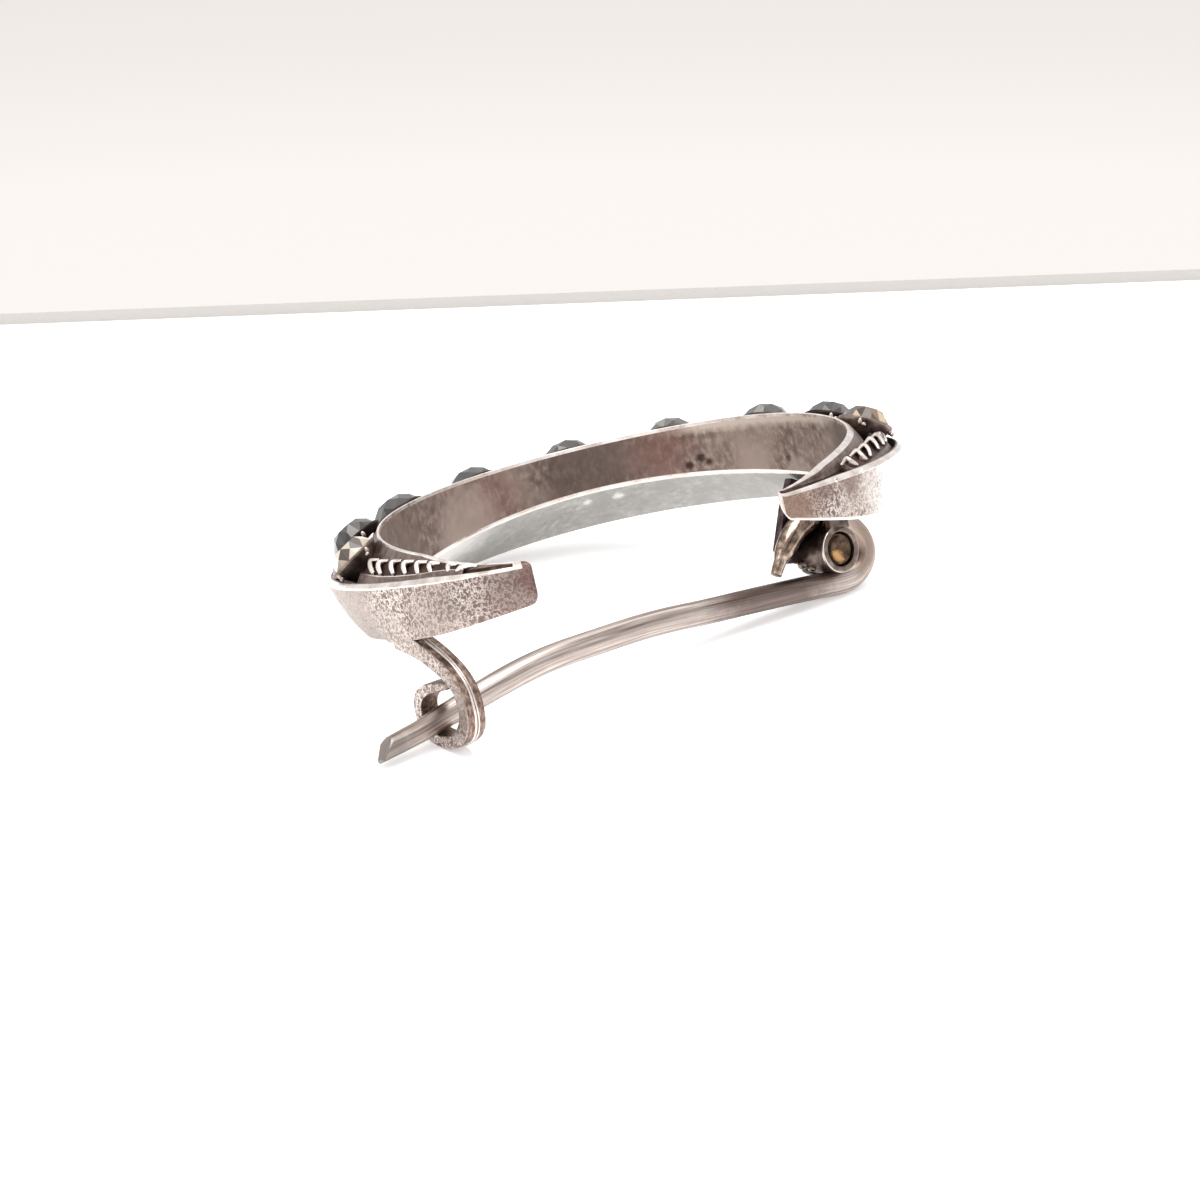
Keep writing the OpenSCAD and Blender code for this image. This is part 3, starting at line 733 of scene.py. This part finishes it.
def setting(number, angle, width):
    """Closed cup under a stone with a thin lip at the girdle."""
    r = width / 2
    profile = np.array([
        [0.02, -CUP_DEEP], [0.5 * r, -CUP_DEEP], [0.8 * r, -0.5], [r + 0.06, -0.1],
        [r + 0.1, 0.0], [r + 0.09, 0.05], [r + 0.05, 0.06], [r + 0.035, 0.0], [r * 0.86, -0.2],
        [0.45 * r, -0.6], [0.02, -CUP_DEEP + 0.02]])
    grid = revolve(fair_curve(profile, 3), 64)
    metal = SLOPE_SILVER if number in (1, 9) else SEAT_SILVER
    return grid_mesh(f"cup_{number}", lay_down(placed(grid, angle, GIRDLE_LIFT)), metal)


def bead(name, angle, across, along, height, size, tall=1.0):
    """Grain of silver raised by the graver: an egg standing on the channel."""
    grid = egg(size, tall) + np.array([across, along, height])
    return grid_mesh(name, lay_down(placed(grid, angle)), GRAIN_SILVER)


def grains(number, angle, width):
    """Four claws over the girdle and a small grain beside each."""
    r = width / 2 + CLAW_OUT
    made = []
    for k, (sx, sy) in enumerate(((1, 1), (1, -1), (-1, 1), (-1, -1))):
        x, y = sx * r * DIAGONAL, sy * r * DIAGONAL
        made.append(bead(f"claw_{number}_{k}", angle, x, y, 0.02, 0.11, 1.6))
        made.append(bead(f"grain_{number}_{k}", angle, x * 0.95, y + sy * 0.3, -0.14, 0.11))
    return join_pieces(f"grains_{number}", made)


# Arches left standing between the graver's cuts: outline angle and share of the width from the
# inner rim, at points from the inner end over the bow to the near end
ARCHES = {
    "left": [[(196.4, 0.31), (194.2, 0.4), (196.6, 0.5), (199.6, 0.57)],
             [(201.1, 0.28), (199.2, 0.38), (200.8, 0.49), (203.2, 0.57)],
             [(206.6, 0.23), (204.8, 0.33), (205.8, 0.44), (208.0, 0.55)],
             [(211.6, 0.2), (209.7, 0.31), (210.6, 0.43), (212.4, 0.54)],
             [(216.4, 0.16), (214.5, 0.28), (215.0, 0.39), (216.6, 0.53)],
             [(221.1, 0.13), (219.3, 0.23), (219.1, 0.35), (220.4, 0.47)],
             [(226.6, 0.12), (225.1, 0.18), (224.8, 0.29), (225.4, 0.42)],
             [(232.4, 0.12), (230.5, 0.2), (228.8, 0.3), (227.4, 0.4)]],
    "right": [[(-11.5, 0.48), (-7.5, 0.62), (-8.5, 0.68), (-13.5, 0.69)],
              [(-18.0, 0.41), (-12.2, 0.53), (-15.6, 0.6), (-18.6, 0.66)],
              [(-25.8, 0.36), (-20.2, 0.42), (-22.3, 0.53), (-25.0, 0.63)],
              [(-31.8, 0.35), (-28.0, 0.39), (-29.6, 0.52), (-32.4, 0.63)],
              [(-37.1, 0.35), (-33.5, 0.38), (-35.4, 0.55), (-35.6, 0.66)],
              [(-43.8, 0.43), (-40.5, 0.4), (-40.9, 0.53), (-40.6, 0.67)]]}

RIB_WIDE, RIB_HIGH = {"left": 0.24, "right": 0.2}, 0.1
# Cuts between two stones: degrees from one to the next, and how far each bows
CUT_STEP, CUT_BOW = 2.1, 0.8
# Outline angles of the pits in the right limb's rim, and how far they lean outwards
RIM_PITS, PIT_LEAN = (-44.0, -52.7), 35


def swept(name, rows, width, height, material):
    """Low rounded bar along rows of outline angle, share across and height over the dome. It
    narrows to 45% at its start and to 65% at its end, and reaches 2.5 times as far down as up."""
    line = fair_curve(np.array(rows, float), 12)
    st = station(share_of(line[:, 0]))
    path = on_front(st, line[:, 1] * st["w"], line[:, 2])
    ahead = directions(path)
    side = np.cross(ahead, [0, 0, 1])
    side /= np.linalg.norm(side, axis=1, keepdims=True)
    rise = np.cross(side, ahead)
    a = full_turn(14)
    s = np.linspace(-1, 1, len(path))
    taper = (1 - 0.55 * smooth01(-s) - 0.35 * np.clip(s, 0, 1) ** 3)[:, None, None]
    tall = np.where(np.sin(a) < 0, 2.5, 1.0) * height * np.sin(a)
    grid = (path[:, None] + width / 2 * taper * side[:, None] * np.cos(a)[None, :, None]
            + taper * rise[:, None] * tall[None, :, None])
    return grid_mesh(name, lay_down(grid), material)


def ridge(side):
    """Ridge left down the middle of the channel, hollowed along its top by the cuts, with a
    slope down to the outer rim."""
    table = np.array(ARCHES[side])
    inner_end, near_end = table[:, 0], table[:, -1]
    turned = np.sign(inner_end[-1, 0] - inner_end[0, 0])
    angle = np.linspace(table[0, 1, 0] - 2 * turned, near_end[-1, 0] + 2 * turned, 100)
    st = station(share_of(angle))
    w = st["w"]
    inner = np.interp(angle * turned, inner_end[:, 0] * turned, inner_end[:, 1])
    outer = np.interp(angle * turned, near_end[:, 0] * turned, near_end[:, 1])
    inner = np.minimum(inner, outer - 0.04)
    drop = channel_depth(w, 0.14, 0.9)
    foot = "rim" if side == "left" else "cell"
    rows = [(inner - 0.1, -0.55, "slope"), (inner - 0.05, -0.3, "slope"),
            (inner - 0.01, -0.12, "rim"), (inner + 0.01, -0.12, "cell"),
            (inner + 0.04, -0.24, "cell"), (outer - 0.02, -0.26, "cell"),
            (outer + 0.02, -0.2, foot), (outer + 0.04, -0.26, "slope"),
            (outer + 0.14, -0.5, "slope"), (0.84 + 0 * outer, -0.8, "slope"),
            (0.86 + 0 * outer, -1.1, "slope"), (inner - 0.1, -1.1, "slope")]
    grid = np.stack([on_front(st, a * w, h * drop / FLOOR_DROP) for a, h, _ in rows], 1)
    kinds = ["slope", "rim", "cell"]
    which = np.repeat([kinds.index(kind) for _, _, kind in rows], 4)[None, :]
    return grid_mesh(f"ridge_{side}", lay_down(ring_curve(grid, 4)), SLOPE_SILVER, RIM_SILVER,
                     FLOOR_SILVER, face_material=which)


def ribs(side):
    """Bright arches left standing between the cuts, bowed towards the stone."""
    made = []
    for n, arch in enumerate(ARCHES[side]):
        heights = [-0.08] + [0.02] * (len(arch) - 2) + [-0.14]
        rows = [(*point, height) for point, height in zip(arch, heights)]
        made.append(swept(f"rib_{side}_{n}", rows, RIB_WIDE[side], RIB_HIGH, RIM_SILVER))
    return join_pieces(f"ribs_{side}", made)


def gap_cuts():
    """Short cuts of the graver between neighbouring stones, three along each rim."""
    made = []
    centres = [angle for angle, _ in STONES]
    for n, (first, second) in enumerate(zip(centres, centres[1:])):
        for k in (-1, 0, 1):
            angle = (first + second) / 2 + CUT_STEP * k
            for side, (edge, foot) in {"inner": (0.12, 0.3), "outer": (0.87, 0.7)}.items():
                rows = [(angle, edge, -0.06), (angle + CUT_BOW, (edge + foot) / 2, -0.14),
                        (angle, foot, -0.3)]
                made.append(swept(f"cut_{n}_{k}_{side}", rows, 0.15, 0.08, RIM_SILVER))
    return join_pieces("gap_cuts", made)


def rim_pits():
    """Pits in the right limb's outer rim, each in a raised lip: a profile turned about an axis
    that leans outwards."""
    profile = np.array([[0.01, 0.0], [0.06, 0.01], [0.075, 0.035], [0.1, 0.05], [0.12, 0.02],
                        [0.13, -0.08], [0.01, -0.12]])
    made = []
    for n, angle in enumerate(RIM_PITS):
        st = station(share_of(np.array([angle])))
        rot, _ = on_channel(angle)
        lean = rot @ turn("Y", PIT_LEAN)
        grid = revolve(profile, 20) @ lean.T + on_front(st, st["w"], 0)[0]
        # the first two steps are the dark inside
        which = (np.arange(len(profile) - 1) < 2).astype(int)[:, None]
        made.append(grid_mesh(f"pit_{n}", lay_down(grid), RIM_SILVER, FLOOR_SILVER,
                              face_material=which))
    return join_pieces("rim_pits", made)


# Hinge
def across_axis(grid):
    """A turned shape's Z axis laid along the hinge axis."""
    return grid[..., [0, 2, 1]] * np.array([1, 1, -1]) + np.array([0, 0, -HINGE_Z])


def hinge_tube():
    """Tube with rounded ends and a lip round the near one, its profile turned about the hinge
    axis: rubbed bright on the lip, darkened outside by painted shade, dark in the bore."""
    r = TUBE_EDGE
    a = np.linspace(0, 0.5 * np.pi, 5)
    out = np.stack([TUBE_R - r + r * np.cos(a), TUBE_HALF - r + r * np.sin(a)], -1)
    into = np.stack([BORE_R + r - r * np.sin(a), TUBE_HALF - r + r * np.cos(a)], -1)
    near_end = np.vstack([[TUBE_R, TUBE_HALF - 0.3], [TUBE_R + LIP, TUBE_HALF - 0.16],
                          out + [LIP, 0], into])
    profile = np.vstack([near_end * [1, -1], near_end[:2:-1], near_end[:1] * [1, -1]])
    grid = across_axis(revolve(profile, 96))
    step = np.arange(len(profile) - 1)
    # the lip's outside and most of its rounding, and the one long step down the bore
    bright = (step >= 1) & (step <= 4)
    bore = step == len(near_end) - 1
    which = np.where(bright, 1, np.where(bore, 2, 0))[:, None]
    return grid_mesh("hinge_tube", lay_down(pin_line(grid)), TUBE_SILVER, RIM_SILVER,
                     FLOOR_SILVER, caps=False, face_material=which)


def rivet():
    """Rivet wire with a dished end inside the tube."""
    r = RIVET_R
    profile = np.array([[0.01, -0.62], [0.3, -0.66], [0.55, -0.78], [0.68, -0.88],
                        [0.74, -0.9], [r, -0.86], [r, 0.5], [r, 1.1], [r - 0.06, TUBE_HALF],
                        [0.01, TUBE_HALF]])
    grid = across_axis(revolve(fair_curve(profile, 4), 64))
    return grid_mesh("rivet_wire", lay_down(pin_line(grid)), RIVET_METAL)


def solder_lumps():
    """Lumps of solder left under the tube."""
    made = []
    for n, (x, y, z, size) in enumerate(((-1.0, 0.75, -5.4, 0.3), (-0.85, 0.35, -5.65, 0.22),
                                         (-1.1, 1.05, -5.15, 0.24))):
        lump = egg(size, 0.8) + [x, y, z]
        made.append(grid_mesh(f"solder_{n}", lay_down(pin_line(lump)), SOLDER))
    return join_pieces("solder_lumps", made)


def plate(name, outline, near, far, material):
    """Flat plate: an outline of (along, height) rows carried from near to far, edges broken."""
    outline = np.asarray(outline, float)
    ring = np.stack([outline[:, 0], 0 * outline[:, 0], outline[:, 1]], -1)
    n = len(ring)
    verts = np.vstack([ring + [0, near, 0], ring + [0, far, 0]])
    faces = [list(range(n)), list(range(2 * n - 1, n - 1, -1))]
    faces += [[k, k + n, (k + 1) % n + n, (k + 1) % n] for k in range(n)]
    mesh = bpy.data.meshes.new(name)
    mesh.from_pydata(lay_down(pin_line(verts)).tolist(), [], faces)
    mesh.materials.append(material)
    obj = linked(name, mesh)
    edge = obj.modifiers.new("broken edges", "BEVEL")
    edge.width = PLATE_BEVEL * MM
    edge.segments = 3
    edge.limit_method = "ANGLE"
    return obj


def hinge_strap():
    """Strap from the near end of the tube up into the limb."""
    low = -HINGE_Z + BORE_R + 0.05
    return plate("hinge_strap", [[-0.35, low], [0.85, low], [0.8, low + 2.4],
                                 [-0.3, low + 2.4]], -TUBE_HALF, -TUBE_HALF + LUG_T,
                 TUBE_SILVER)


def far_plate():
    """Plate at the far end of the tube, up into the limb."""
    outline = [[1, -1.9], [-0.6, -1.1], [-1.45, -2.4], [-2.4, -4.3], [-2, -5.1], [-1, -5.3]]
    a = np.radians(np.linspace(225, 380, 16))
    disc = np.stack([1.2 * np.cos(a), -HINGE_Z + 1.2 * np.sin(a)], -1)
    return plate("far_plate", np.vstack([outline, disc]), TUBE_HALF - LUG_T, TUBE_HALF,
                 PLATE_SILVER)


# Catch
def catch_line(rows=slice(None)):
    """Rows of the catch strip's middle line: place across and height, direction to its side, and
    share of its full thickness."""
    line = fair_curve(CATCH, CATCH_PARTS)[rows]
    ahead = directions(line[:, :2])
    return line[:, :2], np.stack([-ahead[:, 1], ahead[:, 0]], -1), line[:, 2]


def catch_hook():
    """Flat strip with broken edges carried along the hook's curve. Its two narrow sides are
    cast like the wall, its broad faces are browned."""
    middle, side, thick = catch_line()
    y, z = middle.T
    a = full_turn(64)
    n = CATCH_SQUARE
    square = (np.abs(np.cos(a)) ** n + np.abs(np.sin(a)) ** n) ** (-1 / n)
    wide = CATCH_W / 2 * square * np.cos(a)
    high = 0.5 * square * np.sin(a)
    half = (CATCH_T * thick)[:, None] * high[None]
    inside = TOP_IN * smooth01((y - TOP_IN_FROM) / TOP_IN_OVER)[:, None]
    grid = np.stack([CATCH_X + 0 * half + wide[None] + inside,
                     y[:, None] + side[:, :1] * half,
                     z[:, None] + side[:, 1:] * half], -1)
    u = lengths(middle)
    # the way round the section is measured where the strip is near its full thickness
    full = grid[5 * CATCH_PARTS]
    around = np.cumsum(np.linalg.norm(np.diff(full, axis=0, append=full[:1]), axis=1))
    uv = np.stack(np.broadcast_arrays(u[:, None], around[None]), -1)
    broad = np.abs(np.sin(a + a[1] / 2)) > np.sin(np.pi / 4)
    return grid_mesh("catch_hook", lay_down(pin_line(grid)), OUTER_SILVER, CATCH_SILVER, uv=uv,
                     face_material=broad.astype(int)[None, :])


def catch_burr():
    """Two fine raised lines left by the hammer down the middle of the strip's outer face."""
    middle, side, thick = catch_line(BURR_ROWS)
    y, z = middle.T
    off = CATCH_T * thick / 2
    share = np.linspace(0, 1, len(middle))
    a = full_turn(10)
    made = []
    for n, (start, size) in enumerate(((-0.12, 0.06), (0.03, 0.045))):
        x = CATCH_X + start + 0.12 * share + 0.03 * np.sin(9 * share + n)
        out = (off * BURR_FACE)[:, None] + size * np.sin(a)
        grid = np.stack([x[:, None] + size * np.cos(a)[None],
                         y[:, None] + side[:, :1] * out,
                         z[:, None] + side[:, 1:] * out], -1)
        made.append(grid_mesh(f"burr_{n}", lay_down(pin_line(grid)), RIM_SILVER))
    return join_pieces("catch_burr", made)


# Pin
def pin_wire():
    """Round wire carried along its line, cut to a chisel point and with a short tail."""
    line = fair_curve(PIN, PIN_PARTS)
    x, z, r = line.T
    ahead = directions(line[:, :2])
    a = full_turn(32)
    side, up = r[:, None] * np.cos(a), r[:, None] * np.sin(a)
    from_point = lengths(line[:, :2])[:, None]
    up = np.minimum(up, CUT_BELOW[0] + CUT_BELOW[1] * from_point)
    side = np.maximum(side, CUT_BESIDE[0] + CUT_BESIDE[1] * from_point)
    grid = np.stack([x[:, None] - ahead[:, 1:] * up, -side, z[:, None] + ahead[:, :1] * up], -1)
    uv = np.stack(np.broadcast_arrays(from_point, a[None] * WIRE_R), -1)
    tail = np.arange(len(line) - 1) > TAIL_ROW * PIN_PARTS
    return grid_mesh("pin_wire", lay_down(pin_line(grid)), PIN_METAL, TAIL_METAL, uv=uv,
                     face_material=tail[:, None])


# Build
brooch = [crescent(), hinge_tube(), hinge_strap(), far_plate(), solder_lumps(), catch_hook(),
          catch_burr(), gap_cuts(), rim_pits()]
for i, (stone_angle, stone_width) in enumerate(STONES, 1):
    brooch.append(setting(i, stone_angle, stone_width))
    brooch.append(grains(i, stone_angle, stone_width))
for limb in ARCHES:
    brooch.append(ridge(limb))
    brooch.append(ribs(limb))
for piece in brooch:
    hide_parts("silver_frame")
    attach(piece, "brooch")

rivet_piece = rivet()
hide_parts("hinge_rivet")
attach(rivet_piece, "brooch")

pin_piece = pin_wire()
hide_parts("pin_stem")
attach(pin_piece, "pin")

for i in range(1, len(STONES) + 1):
    for stone_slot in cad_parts[f"stone_{i}"].material_slots:
        stone_slot.material = FINISH.get(i, PASTE)


# Table, light and camera, in metres: two points of the table's far edge, how high the edge
# stands, and how far the table reaches past those points and to the front
FAR_EDGE = ((-0.02492, 0.05215), (0.04655, 0.04015))
EDGE_HIGH = 0.0007
TABLE_REACH = 1.5


def table_top():
    """Plain white sheet under the brooch, with a faint glow of painted light that pales the
    shadows on it. Its far edge lies close behind, and a low grey strip closes it: painted shade
    for the shadow in a gap at the edge."""
    left, right = np.array(FAR_EDGE[0]), np.array(FAR_EDGE[1])
    way = (right - left) / np.linalg.norm(right - left)
    back_left, back_right = left - way * TABLE_REACH, right + way * TABLE_REACH
    front = np.array([way[1], -way[0]]) * TABLE_REACH
    sheets = {
        # the card's glow is painted light that pales the shadows on it
        "table_top": ("white card", "#fdfdfd", 0.28,
                      [(*(back_left + front), 0), (*(back_right + front), 0),
                       (*back_right, 0), (*back_left, 0)]),
        # the strip's grey is painted shade, the shadow in a gap at the card's edge
        "table_edge": ("painted shadow strip at the card's edge", "#b9b5b1", 0.0,
                       [(*back_left, 0), (*back_right, 0), (*back_right, EDGE_HIGH),
                        (*back_left, EDGE_HIGH)])}
    for name, (finish, colour, glow, corners) in sheets.items():
        mesh = bpy.data.meshes.new(name)
        mesh.from_pydata([[float(c) for c in corner] for corner in corners], [], [[0, 1, 2, 3]])
        m, tree, shader = new_material(finish)
        shader.inputs["Base Color"].default_value = srgb(colour)
        shader.inputs["Roughness"].default_value = 0.7
        shader.inputs["Specular IOR Level"].default_value = 0.2
        shader.inputs["Emission Strength"].default_value = glow
        mesh.materials.append(m)
        linked(name, mesh)


def lamp(name, place, size, power):
    """Square soft light at place (m), pointing at the middle of the table."""
    light = bpy.data.lights.new(name, "AREA")
    light.size = size
    light.energy = power
    obj = linked(name, light)
    obj.location = place
    obj.rotation_euler = (-Vector(place)).to_track_quat("-Z", "Y").to_euler()


def studio():
    """White surroundings, cream to grey beyond the table's far edge, and soft lights."""
    world = bpy.data.worlds.new("white room")
    bpy.context.scene.world = world
    world.use_nodes = True
    tree = world.node_tree
    way = add(tree, "ShaderNodeTexCoord").outputs["Generated"]
    height = add(tree, "ShaderNodeSeparateXYZ", {0: way}).outputs["Z"]
    share = add(tree, "ShaderNodeMapRange", {"Value": height, "From Min": -0.35,
                                             "From Max": -0.15}).outputs[0]
    sky = add(tree, "ShaderNodeValToRGB", {"Fac": share})
    colour = with_stops(sky, [(0.0, "#fdf8f3"), (0.25, "#fcf7f3"), (0.38, "#f4efeb"),
                              (0.5, "#eee9e5"), (0.75, "#f4f1ef"), (1.0, "#ffffff")])
    tree.links.new(colour, tree.nodes["Background"].inputs["Color"])
    tree.nodes["Background"].inputs["Strength"].default_value = 1.0
    bpy.context.scene.view_settings.view_transform = "Standard"
    lamp("overhead", (0.0, 0.05, 0.45), 0.4, 1.8)
    lamp("left", (-0.35, -0.15, 0.25), 0.2, 0.25)


CAMERA_AT = (-0.036712, -0.153267, 0.072939)
CAMERA_RIGHT = (0.97187, -0.23508, -0.01434)
CAMERA_UP = (0.1095, 0.39712, 0.91121)
LENS_MM, SENSOR_MM = 108.0, 36.0


def camera():
    """Long lens 17 cm away, at the photograph's angle."""
    data = bpy.data.cameras.new("camera")
    data.lens = LENS_MM
    data.sensor_width = SENSOR_MM
    data.sensor_fit = "HORIZONTAL"
    data.clip_start = 0.005
    obj = linked("camera", data)
    right, up = np.array(CAMERA_RIGHT), np.array(CAMERA_UP)
    back = np.cross(right, up)
    axes = np.stack([right, up, back], 1)
    obj.matrix_world = Matrix.Translation(CAMERA_AT) @ Matrix(axes.tolist()).to_4x4()
    bpy.context.scene.camera = obj


table_top()
studio()
camera()
